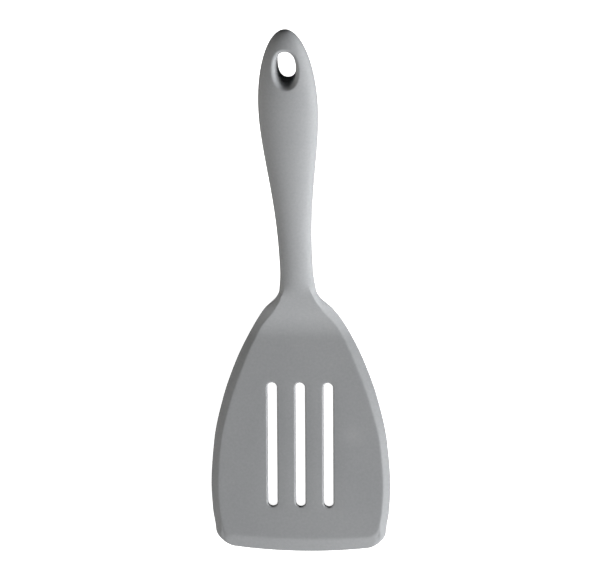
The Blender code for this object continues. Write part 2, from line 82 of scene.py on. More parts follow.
OVERALL_LENGTH = BLADE_LENGTH + HANDLE_LENGTH
BEND_START = BLADE_LENGTH - BEND_SETBACK
BEND_END = BEND_START + BEND_RADIUS * math.sin(NECK_SLOPE)
ROUNDING_START = BEND_END + BEND_RADIUS / 4
ROUNDING_END = BLADE_LENGTH - BEND_RADIUS / 4
GRIP_STATION = OVERALL_LENGTH - TIP_LENGTH
HANG_HOLE_STATION = OVERALL_LENGTH - HANG_HOLE_SETBACK

# Softness that the frame leaves out
SEAM = 0.00001  # half of the hairline between the skins
EDGE_ROUNDING = 0.0002  # rounding of the upright band round the blade
FRONT_ROUNDING = 0.0003
CREASE = 0.00035  # softness of the crease between a bevel and the flat, as a height
CORNER_CREASE = 0.0030  # the same where the front bevel meets a side bevel
UNDERSIDE_CREASE = 0.00015
# Rounding of a slot's rim, for each sign: (outwards from the wall, below the surface)
SLOT_RIM = {1: (0.00085, 0.00085), -1: (0.00045, 0.00045)}
# Mouth of the hanging hole, the same
HOLE_PROFILE = {
    1: (
        (0.00290, 0.0), (0.00262, 0.00002), (0.00230, 0.00012), (0.00200, 0.00028),
        (0.00168, 0.00051), (0.00136, 0.00079), (0.00108, 0.00111), (0.00084, 0.00148),
        (0.00064, 0.00193), (0.00049, 0.00248), (0.00036, 0.00320), (0.00022, 0.00420),
        (0.00009, 0.00520), (0.0, 0.00600),
    ),
    -1: (
        (0.00060, 0.0), (0.00050, 0.00001), (0.00037, 0.00005), (0.00022, 0.00014),
        (0.00009, 0.00027), (0.00002, 0.00042), (0.0, 0.00060),
    ),
}
HOLE_MOUTH_SHIFT = 0.10  # share that the mouth reaches less far to the blade, and farther to the tip
PARTING_INSET = 0.0001  # how far the parting face's points keep from the tool's side

# Fineness of the mesh
FLAT_COLUMNS = 24  # columns of faces across half of the flat
ROW_SPACINGS = {"corner": 0.0005, "blade": 0.00209, "bend": 0.0008, "handle": 0.0021}
CORNER_ROWS_END = 0.013
BLADE_ROWS_START = 0.0135
HANDLE_ROWS_CLEARANCE = 0.001  # no row this close before the grip's widest place
CORNER_ROW_DEGREES = 4
TIP_ROW_DEGREES = 1.8
TIP_LAST_DEGREES = 89
RIM_STEPS = 10
WALL_STEPS = 3
SLOT_END_STEPS = 20
SLOT_SIDE_STEPS = 24
HOLE_STEPS = 88
DROP_PASSES = 12  # steps that home in on the surface above a point of the hole's plane
SLOT_WINDOW_AHEAD = 0.0022  # the refilled window's clearance at the ends of the slots
SLOT_WINDOW_BESIDE = 0.0008
HOLE_WINDOW_AHEAD = 0.0152
HOLE_WINDOW_BEHIND = 0.0128
HOLE_WINDOW_PLACE = 3.6  # columns nearer to the side than this place stay outside the window
HOLE_FILL_CLEARANCE = 0.35  # millimetres from the hole to the points kept round it
SHARP_DEGREES = 38.0


def smooth(low, high, value):
    """0 below low, 1 above high, with an even S-curve between them."""
    t = min(max((value - low) / (high - low), 0.0), 1.0)
    return t * t * (3.0 - 2.0 * t)


def curve_through(points, x):
    """Value at x of a smooth curve through the points, without overshoot."""
    steps = [(b[1] - a[1]) / (b[0] - a[0]) for a, b in zip(points, points[1:])]
    slopes = [steps[0]]
    for before, after in zip(steps, steps[1:]):
        same_way = before * after > 0.0
        slopes.append(2.0 * before * after / (before + after) if same_way else 0.0)
    slopes.append(0.0)
    i = 0
    while i < len(points) - 2 and x > points[i + 1][0]:
        i += 1
    (x0, y0), (x1, y1) = points[i], points[i + 1]
    h = x1 - x0
    t = (x - x0) / h
    rise = y0 * (1 + 2 * t) * (1 - t) ** 2 + y1 * t * t * (3 - 2 * t)
    return rise + h * (slopes[i] * t * (1 - t) ** 2 - slopes[i + 1] * t * t * (1 - t))


def corner_loss(radius, distance):
    """How much is lost to a rounded corner, this far behind the edge it ends at."""
    if distance >= radius:
        return 0.0
    return radius - math.sqrt(max(radius ** 2 - (radius - distance) ** 2, 0.0))


def half_width(station):
    """Half of the tool's width."""
    neck = NECK_WIDTH / 2
    grip = GRIP_WIDTH / 2
    if station < BLADE_LENGTH:
        share = curve_through(BLADE_SIDE, station / BLADE_LENGTH)
        side = neck + share * (BLADE_WIDTH / 2 - neck)
        return side - corner_loss(FRONT_CORNER_RADIUS, station)
    if station < GRIP_STATION:
        along = (station - BLADE_LENGTH) / (GRIP_STATION - BLADE_LENGTH)
        return neck + smooth(0.0, 1.0, along ** GRIP_SWELL_DELAY) * (grip - neck)
    along = (station - GRIP_STATION) / TIP_LENGTH
    return grip * math.sqrt(max(1.0 - along ** 2, 0.0))


def middle_height(station):
    """Height of the parting line."""
    if station <= BEND_START:
        front = smooth(0.0, FRONT_BEVEL, station)
        return FRONT_PARTING + front * (BLADE_PARTING - FRONT_PARTING)
    if station <= BEND_END:
        run = station - BEND_START
        return BLADE_PARTING + BEND_RADIUS - math.sqrt(BEND_RADIUS ** 2 - run ** 2)
    bend_top = BLADE_PARTING + BEND_RADIUS * (1.0 - math.cos(NECK_SLOPE))
    run = station - BEND_END
    full = OVERALL_LENGTH - BEND_END
    fall = (math.tan(NECK_SLOPE) - math.tan(TIP_SLOPE)) / (2.0 * full)
    return bend_top + math.tan(NECK_SLOPE) * run - fall * run ** 2


def slope_at(station):
    """Angle of the parting line above the ground."""
    step = 0.0002
    return math.atan2(middle_height(station + step) - middle_height(station - step), 2 * step)


def handle_half_thickness(station, blade_value):
    """Height above or below the parting line, which starts from the blade's own value."""
    neck = NECK_THICKNESS / 2
    grip = GRIP_THICKNESS / 2
    height = blade_value + smooth(BEND_START, BLADE_LENGTH, station) * (neck - blade_value)
    height += smooth(BLADE_LENGTH, GRIP_STATION, station) * (grip - neck)
    along = min(max((station - GRIP_STATION) / TIP_LENGTH, 0.0), 1.0)
    return height * math.sqrt(1.0 - along ** TIP_ROUNDNESS)


def soft_min(a, b, width):
    """The lower of two heights, with the crease between them rounded over a height."""
    width = np.maximum(width, 1e-9)
    near = np.maximum(width - np.abs(a - b), 0.0)
    return np.minimum(a, b) - near * near / (4.0 * width)


def column_places():
    """Places of a section's points from its side (0) to its middle, on the frame's own count."""
    last = len(OVAL_ANGLES) - 1
    crease = 1 + BEVEL_STEPS
    places = [0.0, 0.35, 0.7, 1.0, 1.015, 1.045, 1.09, 1.15, 1.4, 1.7, 2.0, 2.3, 2.6, 2.9]
    places += [3.15, 3.35, 3.5, 3.65, 3.75, 3.85, 3.93, float(crease)]
    shares = [i / FLAT_COLUMNS for i in range(1, FLAT_COLUMNS + 1)]
    places += [crease + (last - crease) * share ** 2.0 for share in shares]
    return np.array(places)


PLACES = column_places()


def section(station, sign):
    """Across and height above (or depth below) the parting line, from the side to the middle."""
    width = half_width(station)
    last = len(OVAL_ANGLES) - 1
    crease = 1 + BEVEL_STEPS
    if sign > 0:
        flat = handle_half_thickness(station, BLADE_THICKNESS - BLADE_PARTING)
        flat += BLADE_PARTING - middle_height(station) if station < BEND_START else 0.0
        bevel = curve_through(BEVEL_WIDTHS, min(station / BLADE_LENGTH, 1.0))
        steepness = (max(flat, BLADE_THICKNESS - BLADE_PARTING) - EDGE_LAND) / bevel
        softness = CREASE
    else:
        bottom = FRONT_EDGE_BOTTOM * max(1.0 - station / UNDERSIDE_CHAMFER, 0.0)
        flat = handle_half_thickness(station, BLADE_PARTING)
        flat += middle_height(station) - BLADE_PARTING - bottom if station < BEND_START else 0.0
        bevel = min(UNDERSIDE_CHAMFER, width)
        steepness = (BLADE_PARTING - EDGE_LAND) / bevel
        softness = UNDERSIDE_CREASE
    inner = width - bevel
    plate_x = np.interp(PLACES, [0, 1, crease, last], [width, width, inner, 0.0])
    depth = width - plate_x
    rounding = np.array([corner_loss(EDGE_ROUNDING, d) for d in depth])
    side = EDGE_LAND + steepness * depth - rounding
    low = side
    if sign > 0 and station < 3 * FRONT_BEVEL:
        rise = (BLADE_THICKNESS - FRONT_EDGE_TOP) / FRONT_BEVEL
        front = FRONT_EDGE_TOP + rise * station - middle_height(station)
        front -= corner_loss(FRONT_ROUNDING, station)
        level = np.minimum(side, front) / (BLADE_THICKNESS - BLADE_PARTING)
        low = soft_min(side, front, CORNER_CREASE * np.clip(level, 0.0, 1.0) ** 2)
    plate_z = soft_min(low, flat, softness) * np.minimum(PLACES, 1.0)
    angle = np.interp(PLACES, range(last + 1), OVAL_ANGLES)
    oval_x = width * np.maximum(np.cos(angle), 0.0) ** (2.0 / GRIP_ROUNDNESS)
    oval_z = flat * np.sin(angle) ** (2.0 / GRIP_ROUNDNESS)
    roundness = smooth(ROUNDING_START, ROUNDING_END, station)
    x = plate_x + (oval_x - plate_x) * roundness
    z = plate_z + (oval_z - plate_z) * roundness
    x[-1] = 0.0
    return x, np.maximum(z, SEAM)


def surface_height(x, station, sign):
    """Height of the outer surface above a plan position."""
    across, up = section(station, sign)
    return middle_height(station) + sign * float(np.interp(abs(x), across[::-1], up[::-1]))


def parting_height(x, station, sign):
    """Height of a skin's face along the parting line."""
    return middle_height(station) + sign * SEAM


def bend_row(across, station):
    """Station of a point of a row; near the front, rows bend with the front edge."""
    fade = 1.0 - smooth(0.0, FRONT_ARC_DEPTH, station)
    return station + fade * across ** 2 / (2.0 * FRONT_EDGE_RADIUS)


def row_stations():
    """Stations of the rows of points."""
    turns = [math.radians(a) for a in range(0, 90, CORNER_ROW_DEGREES)]
    rows = [FRONT_CORNER_RADIUS * (1.0 - math.cos(a)) for a in turns]
    for start, end, part in (
        (FRONT_CORNER_RADIUS, CORNER_ROWS_END, "corner"),
        (BLADE_ROWS_START, BEND_START, "blade"),
        (BEND_START, BLADE_LENGTH, "bend"),
        (BLADE_LENGTH, GRIP_STATION - HANDLE_ROWS_CLEARANCE, "handle"),
    ):
        rows += list(np.arange(start, end, ROW_SPACINGS[part]))
    turns = [math.radians(a) for a in np.arange(0, TIP_LAST_DEGREES, TIP_ROW_DEGREES)]
    return rows + [GRIP_STATION + TIP_LENGTH * math.sin(a) for a in turns]


class Skin:
    """Points and faces of one silicone skin while it is being made."""

    def __init__(self, sign):
        self.sign = sign
        self.points = []
        # share of each point that is painted lighter at the rims, partly wear and partly a painted
        # highlight
        self.wear_and_highlight = []
        self.faces = []
        self.stations = row_stations()
        self.sections = [section(station, sign) for station in self.stations]
        self.outer = [self.row(i, True) for i in range(len(self.stations))]
        self.inner = [self.row(i, False) for i in range(len(self.stations))]

    def add(self, x, station, z, wear_and_highlight=0.0):
        """New point from plan position and height; returns its number."""
        self.points.append((x, station - OVERALL_LENGTH / 2, z))
        self.wear_and_highlight.append(wear_and_highlight)
        return len(self.points) - 1

    def row(self, index, outside):
        """One row of points, left to right, on the outer surface or on the parting face."""
        station = self.stations[index]
        across, up = self.sections[index]
        middle = middle_height(station)
        width = across[0]
        right = []
        for k, place in enumerate(PLACES):
            x = across[k]
            z = up[k] if outside else SEAM
            if not outside:
                x -= PARTING_INSET * min(place, 1.0) * x / width
            right.append((x, z))
        if not outside:
            right = right[1:]
        made = []
        for x, z in [(-x, z) for x, z in right] + right[-2::-1]:
            made.append(self.add(x, bend_row(x, station), middle + self.sign * z))
        if not outside:
            made = [self.outer[index][0]] + made + [self.outer[index][-1]]
        return made

    def face(self, corners, outward):
        """New face, turned to suit the side it is on."""
        corners = list(dict.fromkeys(corners))
        if len(corners) > 2:
            self.faces.append(corners if outward == (self.sign > 0) else corners[::-1])

    def grid(self, rows, outward, windows):
        """Faces between rows of points, except inside the windows."""
        for i in range(len(rows) - 1):
            for j in range(len(rows[0]) - 1):
                if any(a <= i < b and c <= j < d for a, b, c, d in windows):
                    continue
                a, b = rows[i][j], rows[i][j + 1]
                c, d = rows[i + 1][j + 1], rows[i + 1][j]
                self.face((a, b, c, d), outward)

    def ends(self):
        """Front face, and the tip where all rows close."""
        outer, inner = self.outer[0], self.inner[0]
        for j in range(len(outer) - 1):
            self.face((inner[j], inner[j + 1], outer[j + 1], outer[j]), True)
        end = OVERALL_LENGTH
        tip = self.add(0.0, end, middle_height(end) + self.sign * SEAM)
        outer, inner = self.outer[-1], self.inner[-1]
        for j in range(len(outer) - 1):
            self.face((outer[j], outer[j + 1], tip), True)
            self.face((inner[j], inner[j + 1], tip), False)

    def rings(self, rings):
        """Faces between neighbouring closed rings, from the outer surface inwards."""
        for ring, following in zip(rings, rings[1:]):
            count = len(ring)
            for i in range(count):
                j = (i + 1) % count
                self.face((ring[i], ring[j], following[j], following[i]), True)

    def fill(self, rows, window, holes, outward, keep_inside):
        """Triangles between a window's edge, the holes in it and the points kept clear of the holes."""
        a, b, c, d = window
        loop = [rows[a][j] for j in range(c, d)] + [rows[i][d] for i in range(a, b)]
        loop += [rows[b][j] for j in range(d, c, -1)] + [rows[i][c] for i in range(b, a, -1)]
        outline = self.plan(loop)
        hole_outlines = [self.plan(hole) for hole in holes]
        inside = []
        if keep_inside > 0.0:
            for i in range(a + 1, b):
                for j in range(c + 1, d):
                    place = self.plan([rows[i][j]])[0]
                    gap = min(np.hypot(*(h - place).T).min() for h in hole_outlines)
                    if gap > keep_inside and not any(within(place, h) for h in hole_outlines):
                        inside.append(rows[i][j])
        numbers = loop + [n for hole in holes for n in hole] + inside
        edges = closed_edges(0, len(loop))
        start = len(loop)
        for hole in holes:
            edges += closed_edges(start, len(hole))
            start += len(hole)
        flat = [Vector(place) for place in self.plan(numbers)]
        made = delaunay_2d_cdt(flat, edges, [], 0, 1e-6)
        spots, triangles, sources = made[0], made[2], made[3]
        for triangle in triangles:
            centre = np.mean([spots[i] for i in triangle], axis=0)
            if not within(centre, outline) or any(within(centre, h) for h in hole_outlines):
                continue
            corners = [numbers[sources[i][0]] for i in triangle]
            self.face(corners, outward)

    def plan(self, numbers):
        """Plan positions of points, in millimetres."""
        return np.array([self.points[n][:2] for n in numbers]) * 1000.0


def closed_edges(start, count):
    """Edges of a closed loop of numbered points."""
    return [(start + i, start + (i + 1) % count) for i in range(count)]


def within(place, outline):
    """Whether a plan position is inside an outline."""
    x, y = place[0], place[1]
    x0, y0 = outline[:, 0], outline[:, 1]
    x1, y1 = np.roll(x0, -1), np.roll(y0, -1)
    crosses = (y0 > y) != (y1 > y)
    with np.errstate(divide="ignore", invalid="ignore"):
        at = x0 + (y - y0) * (x1 - x0) / (y1 - y0)
    return bool(np.count_nonzero(crosses & (at > x)) % 2)


def obround(across):
    """Outline of one slot: plan positions and outward directions."""
    radius = SLOT_WIDTH / 2
    front = SLOT_FRONT_MARGIN + radius
    rear = BEND_START - SLOT_REAR_MARGIN - radius
    places = []
    for centre, turn in ((rear, 0.0), (front, math.pi)):
        for i in range(SLOT_END_STEPS + 1):
            angle = turn + math.pi * i / SLOT_END_STEPS
            out = (math.cos(angle), math.sin(angle))
            places.append((across + radius * out[0], centre + radius * out[1], *out))
        side = math.cos(turn + math.pi)
        other = front if centre == rear else rear
        for i in range(1, SLOT_SIDE_STEPS):
            station = centre + (other - centre) * i / SLOT_SIDE_STEPS
            places.append((across + radius * side, station, side, 0.0))
    return places


def hole_outline():
    """Outline of the hanging hole in its own plane: positions and outward directions."""
    power = HANG_HOLE_ROUNDNESS
    width, length = HANG_HOLE_WIDTH / 2, HANG_HOLE_LENGTH / 2
    places = []
    for i in range(HOLE_STEPS):
        angle = 2.0 * math.pi * (i + 0.5) / HOLE_STEPS
        cosine, sine = math.cos(angle), math.sin(angle)
        a = math.copysign(width * abs(cosine) ** (2.0 / power), cosine)
        b = math.copysign(length * abs(sine) ** (2.0 / power), sine)
        out = Vector((
            math.copysign((abs(a) / width) ** (power - 1) / width, a),
            math.copysign((abs(b) / length) ** (power - 1) / length, b),
        )).normalized()
        places.append((a, b, out.x, out.y))
    return places


def rim_profile(rim):
    """(offset outwards, drop below the surface) from the flat to the wall."""
    reach, depth = rim
    steps = [math.radians(90.0 * i / RIM_STEPS) for i in range(RIM_STEPS, -1, -1)]
    return [(reach * (1.0 - math.cos(a)), depth * (1.0 - math.sin(a))) for a in steps]


def slot_rings(skin, across):
    """Rings of one slot from the outer surface over its rim and down its wall."""
    sign = skin.sign
    outline = obround(across)
    surface = surface_height(across, SLOT_FRONT_MARGIN * 2, sign)
    bottom = BLADE_PARTING + sign * SEAM
    rings = []
    for offset, drop in rim_profile(SLOT_RIM[sign]):
        # the rim is painted lighter towards its middle, partly as wear and partly as a painted
        # highlight
        worn_and_highlit = 1.0 - abs(2.0 * offset / SLOT_RIM[sign][0] - 1.0)
        rings.append([
            skin.add(x + offset * u, s + offset * v, surface - sign * drop, worn_and_highlit)
            for x, s, u, v in outline
        ])
    start = surface - sign * SLOT_RIM[sign][1]
    for k in range(1, WALL_STEPS + 1):
        z = start + (bottom - start) * k / WALL_STEPS
        rings.append([skin.add(x, s, z) for x, s, u, v in outline])
    return rings


def drop_on(surface, a, b, sign):
    """Distance from the hanging hole's plane, along its axis, to a surface."""
    tilt = slope_at(HANG_HOLE_STATION)
    base = middle_height(HANG_HOLE_STATION)
    w = 0.0
    for _ in range(DROP_PASSES):
        station = HANG_HOLE_STATION + b * math.cos(tilt) - w * math.sin(tilt)
        height = base + b * math.sin(tilt) + w * math.cos(tilt)
        w -= (height - surface(a, station, sign)) * math.cos(tilt)
    return w


def hole_point(skin, a, b, w, wear_and_highlight=0.0):
    """Point of the hanging hole from its own plane's coordinates."""
    tilt = slope_at(HANG_HOLE_STATION)
    station = HANG_HOLE_STATION + b * math.cos(tilt) - w * math.sin(tilt)
    height = middle_height(HANG_HOLE_STATION) + b * math.sin(tilt) + w * math.cos(tilt)
    return skin.add(a, station, height, wear_and_highlight)


def hole_rings(skin):
    """Rings of the hanging hole from the outer surface over its rim and down its wall."""
    sign = skin.sign
    outline = hole_outline()
    profile = HOLE_PROFILE[sign]
    reach, depth = profile[0][0], profile[-1][1]
    rings = []
    for offset, drop in profile:
        ring = []
        # the mouth is painted lighter towards its middle, partly as wear and partly as a painted
        # highlight
        worn_and_highlit = 0.5 - abs(offset / reach - 0.5)
        for a, b, u, v in outline:
            spread = offset * (1.0 + HOLE_MOUTH_SHIFT * v)
            at, bt = a + spread * u, b + spread * v
            w = drop_on(surface_height, at, bt, sign)
            ring.append(hole_point(skin, at, bt, w - sign * drop, worn_and_highlit))
        rings.append(ring)
    tops = [drop_on(surface_height, a, b, sign) - sign * depth for a, b, u, v in outline]
    ends = [drop_on(parting_height, a, b, sign) for a, b, u, v in outline]
    for k in range(1, WALL_STEPS + 1):
        share = k / WALL_STEPS
        rings.append([
            hole_point(skin, a, b, top + (end - top) * share)
            for (a, b, u, v), top, end in zip(outline, tops, ends)
        ])
    return rings


def window_of(skin, low, high, outside):
    """Rows and columns of a window between two stations, with the columns outside it told by a test."""
    first = max(i for i, s in enumerate(skin.stations) if s <= low)
    last = min(i for i, s in enumerate(skin.stations) if s >= high)
    count = len(PLACES)
    narrow = min(range(first, last + 1), key=lambda i: skin.sections[i][0][count // 2])
    column = max(k for k in range(count) if outside(skin.sections[narrow][0], k))
    return first, last, column, 2 * (count - 1) - column


def make_skin(name, sign):
    """One silicone skin with its openings."""
    skin = Skin(sign)
    reach = SLOT_PITCH + SLOT_WIDTH / 2 + SLOT_RIM[1][0] + SLOT_WINDOW_BESIDE
    slots = window_of(
        skin,
        SLOT_FRONT_MARGIN - SLOT_WINDOW_AHEAD,
        BEND_START - SLOT_REAR_MARGIN + SLOT_WINDOW_AHEAD,
        lambda xs, k: xs[k] > reach,
    )
    hole = window_of(
        skin,
        HANG_HOLE_STATION - HOLE_WINDOW_AHEAD,
        HANG_HOLE_STATION + HOLE_WINDOW_BEHIND,
        lambda xs, k: PLACES[k] < HOLE_WINDOW_PLACE,
    )
    windows = [slots, hole]
    skin.grid(skin.outer, True, windows)
    skin.grid(skin.inner, False, windows)
    skin.ends()
    places = [(i - (SLOT_COUNT - 1) / 2) * SLOT_PITCH for i in range(SLOT_COUNT)]
    slot_sets = [slot_rings(skin, x) for x in places]
    hole_set = hole_rings(skin)
    for rings in slot_sets + [hole_set]:
        skin.rings(rings)
    skin.fill(skin.outer, slots, [rings[0] for rings in slot_sets], True, 0.0)
    skin.fill(skin.inner, slots, [rings[-1] for rings in slot_sets], False, 0.0)
    skin.fill(skin.outer, hole, [hole_set[0]], True, HOLE_FILL_CLEARANCE)
    skin.fill(skin.inner, hole, [hole_set[-1]], False, HOLE_FILL_CLEARANCE)
    mesh = bpy.data.meshes.new(name)
    mesh.from_pydata(skin.points, [], skin.faces)
    # per-point share of the lighter rim colour, partly wear and partly a painted highlight
    wear_and_highlight = mesh.attributes.new("wear_and_highlight", "FLOAT", "POINT")
    wear_and_highlight.data.foreach_set("value", np.array(skin.wear_and_highlight, np.float32))
    obj = bpy.data.objects.new(name, mesh)
    bpy.context.scene.collection.objects.link(obj)
    bm = bmesh.new()
    bm.from_mesh(mesh)
    loose = [v for v in bm.verts if not v.link_faces]
    bmesh.ops.delete(bm, geom=loose, context="VERTS")
    bmesh.ops.recalc_face_normals(bm, faces=bm.faces)
    bm.to_mesh(mesh)
    bm.free()
    return obj


def hollow(obj, cutters):
    """Take the pieces inside the silicone away from it, and drop crumbs left in their gaps."""
    for cutter in cutters:
        boolean = obj.modifiers.new("cut_" + cutter.name, "BOOLEAN")
        boolean.operation = "DIFFERENCE"
        boolean.solver = "EXACT"
        boolean.object = cutter
    graph = bpy.context.evaluated_depsgraph_get()
    mesh = bpy.data.meshes.new_from_object(obj.evaluated_get(graph), depsgraph=graph)
    obj.modifiers.clear()
    bm = bmesh.new()
    bm.from_mesh(mesh)
    left = set(bm.verts)
    islands = []
    while left:
        island = {left.pop()}
        edge = list(island)
        while edge:
            vert = edge.pop()
            for link in vert.link_edges:
                other = link.other_vert(vert)
                if other in left:
                    left.remove(other)
                    island.add(other)
                    edge.append(other)
        islands.append(island)
    islands.sort(key=len)
    for island in islands[:-1]:
        bmesh.ops.delete(bm, geom=sorted(island, key=lambda v: v.index), context="VERTS")
    bm.to_mesh(mesh)
    bm.free()
    mesh.materials.clear()
    obj.data = mesh


def shade(obj, angle):
    """Smooth shading with sharp edges where the surface turns more than the angle."""
    obj.data.shade_smooth()
    obj.data.set_sharp_from_angle(angle=math.radians(angle))


# Materials

SMUDGE_PLACE = (0.029, -0.083, 0.004)  # a faint pale smudge on the blade
SMUDGE_RADIUS = 0.0075


class Nodes:
    """Short names for building one material."""

    def __init__(self, name):
        self.material = bpy.data.materials.new(name)
        self.material.use_nodes = True
        self.tree = self.material.node_tree
        self.shader = self.tree.nodes["Principled BSDF"]
        self.place = self.tree.nodes.new("ShaderNodeTexCoord").outputs["Object"]

    def link(self, source, target):
        """Link two sockets."""
        self.tree.links.new(source, target)

    def noise(self, scale, detail=2.0, rough=0.5, vector=None):
        """Noise from 0 to 1, in the tool's own place unless told otherwise."""
        node = self.tree.nodes.new("ShaderNodeTexNoise")
        node.inputs["Scale"].default_value = scale
        node.inputs["Detail"].default_value = detail
        node.inputs["Roughness"].default_value = rough
        self.link(vector or self.place, node.inputs["Vector"])
        return node.outputs["Fac"]

    def stretched(self, x, y, z):
        """The tool's own place, scaled along each axis."""
        node = self.tree.nodes.new("ShaderNodeMapping")
        node.inputs["Scale"].default_value = (x, y, z)
        self.link(self.place, node.inputs["Vector"])
        return node.outputs["Vector"]

    def span(self, value, low, high, to_low, to_high):
        """A value carried from one range to another."""
        node = self.tree.nodes.new("ShaderNodeMapRange")
        self.link(value, node.inputs["Value"])
        for name, number in (
            ("From Min", low), ("From Max", high), ("To Min", to_low), ("To Max", to_high),
        ):
            node.inputs[name].default_value = number
        return node.outputs["Result"]

    def maths(self, operation, a, b):
        """One sum of two numbers or sockets."""
        node = self.tree.nodes.new("ShaderNodeMath")
        node.operation = operation
        for slot, value in zip(node.inputs, (a, b)):
            if isinstance(value, (int, float)):
                slot.default_value = value
            else:
                self.link(value, slot)
        return node.outputs["Value"]

    def mix(self, share, a, b):
        """One colour blended into another."""
        node = self.tree.nodes.new("ShaderNodeMix")
        node.data_type = "RGBA"
        self.link(share, node.inputs["Factor"])
        for slot, value in ((node.inputs["A"], a), (node.inputs["B"], b)):
            if isinstance(value, tuple):
                slot.default_value = (*value, 1.0)
            else:
                self.link(value, slot)
        return node.outputs["Result"]

    def spot(self, centre, radius):
        """1 at a place, fading to 0 at a radius round it."""
        node = self.tree.nodes.new("ShaderNodeVectorMath")
        node.operation = "DISTANCE"
        self.link(self.place, node.inputs[0])
        node.inputs[1].default_value = centre
        return self.span(node.outputs["Value"], radius, 0.0, 0.0, 1.0)

    def attribute(self, name):
        """A value stored on the mesh."""
        node = self.tree.nodes.new("ShaderNodeAttribute")
        node.attribute_name = name
        return node.outputs["Fac"]

    def bump(self, height, strength, distance):
        """Fine relief from a height."""
        node = self.tree.nodes.new("ShaderNodeBump")
        node.inputs["Strength"].default_value = strength
        node.inputs["Distance"].default_value = distance
        self.link(height, node.inputs["Height"])
        self.link(node.outputs["Normal"], self.shader.inputs["Normal"])

    def set(self, name, value):
        """A number or a socket for one of the shader's inputs."""
        if isinstance(value, (int, float)):
            self.shader.inputs[name].default_value = value
        else:
            self.link(value, self.shader.inputs[name])


def silicone(name, dark, light):
    """Matt moulded silicone with a faint mottle, fine dust, and rims that are lighter and smoother,
    partly from polishing by use and partly as a painted highlight.
    """
    m = Nodes(name)
    clouds = m.span(m.noise(16.0, 3.0), 0.35, 0.65, 0.0, 1.0)
    mottle = m.span(m.noise(700.0, 3.0, 0.6), 0.3, 0.7, 0.0, 1.0)
    tone = m.maths("ADD", m.maths("MULTIPLY", clouds, 0.45), m.maths("MULTIPLY", mottle, 0.55))
    base = m.mix(tone, dark, light)
    smudge = m.maths("MULTIPLY", m.spot(SMUDGE_PLACE, SMUDGE_RADIUS), 0.10)
    base = m.mix(smudge, base, (0.42, 0.42, 0.43))
    specks = m.span(m.noise(2600.0, 1.0), 0.70, 0.80, 0.0, 0.25)
    base = m.mix(specks, base, (0.38, 0.38, 0.39))
    # rims of the slots and the hanging hole are painted lighter and made smoother, partly as wear and
    # partly as a painted highlight
    worn_and_highlit = m.maths("MULTIPLY", m.attribute("wear_and_highlight"), m.span(m.noise(90.0), 0.4, 0.6, 0.1, 0.4))
    base = m.mix(worn_and_highlit, base, (0.31, 0.317, 0.325))
    m.set("Base Color", base)
    rough = m.span(m.noise(420.0, 3.0), 0.3, 0.7, 0.56, 0.66)
    m.set("Roughness", m.maths("SUBTRACT", rough, m.maths("MULTIPLY", worn_and_highlit, 0.15)))
    m.set("Specular IOR Level", 0.3)
    grain = m.maths("ADD", m.noise(1500.0, 3.0, 0.6), m.maths("MULTIPLY", m.noise(260.0), 0.8))
    m.bump(grain, 0.12, 0.0001)
    return m.material


def brushed_steel(name):
    """Spring steel with grinding lines along the tool."""
    m = Nodes(name)
    lines = m.noise(1.0, 3.0, 0.6, m.stretched(3500.0, 60.0, 3500.0))
    stain = m.noise(60.0, 3.0)
    stained = m.span(stain, 0.4, 0.7, 0.0, 1.0)
    m.set("Base Color", m.mix(stained, (0.56, 0.56, 0.57), (0.44, 0.43, 0.42)))
    m.set("Metallic", 1.0)
    m.set("Roughness", m.span(lines, 0.3, 0.7, 0.24, 0.44))
    m.bump(lines, 0.15, 0.00005)
    return m.material


def filled_nylon(name):
    """Black glass-filled nylon with a faint fibre swirl."""
    m = Nodes(name)
    fibres = m.noise(1.0, 4.0, 0.7, m.stretched(900.0, 220.0, 900.0))
    glassy = m.span(fibres, 0.4, 0.65, 0.0, 1.0)
    m.set("Base Color", m.mix(glassy, (0.022, 0.022, 0.024), (0.06, 0.06, 0.062)))
    m.set("Roughness", m.span(m.noise(500.0, 3.0), 0.3, 0.7, 0.42, 0.62))
    m.bump(fibres, 0.25, 0.0001)
    return m.material


def turned_steel(name):
    """Stainless rivets with fine turning marks and a few scuffs."""
    m = Nodes(name)
    marks = m.noise(1.0, 2.0, 0.5, m.stretched(1200.0, 1200.0, 9000.0))
    scuffs = m.span(m.noise(700.0, 3.0), 0.5, 0.7, 0.0, 1.0)
    m.set("Base Color", m.mix(scuffs, (0.66, 0.66, 0.67), (0.50, 0.49, 0.48)))
    m.set("Metallic", 1.0)
    turned = m.span(marks, 0.3, 0.7, 0.18, 0.30)
    m.set("Roughness", m.maths("ADD", turned, m.maths("MULTIPLY", scuffs, 0.12)))
    m.bump(marks, 0.12, 0.00003)
    return m.material


def pale_floor(name):
    """Plain pale studio floor."""
    m = Nodes(name)
    tone = m.span(m.noise(3.0, 2.0), 0.3, 0.7, 0.0, 1.0)
    m.set("Base Color", m.mix(tone, (0.86, 0.86, 0.86), (0.88, 0.88, 0.88)))
    m.set("Roughness", m.span(m.noise(40.0, 2.0), 0.3, 0.7, 0.85, 0.95))
    m.set("Emission Strength", 0.97)
    return m.material


def give(obj, material):
    """Put one material on every slot of an object."""
    if not obj.material_slots:
        obj.data.materials.append(material)
    for slot in obj.material_slots:
        slot.material = material


# Studio

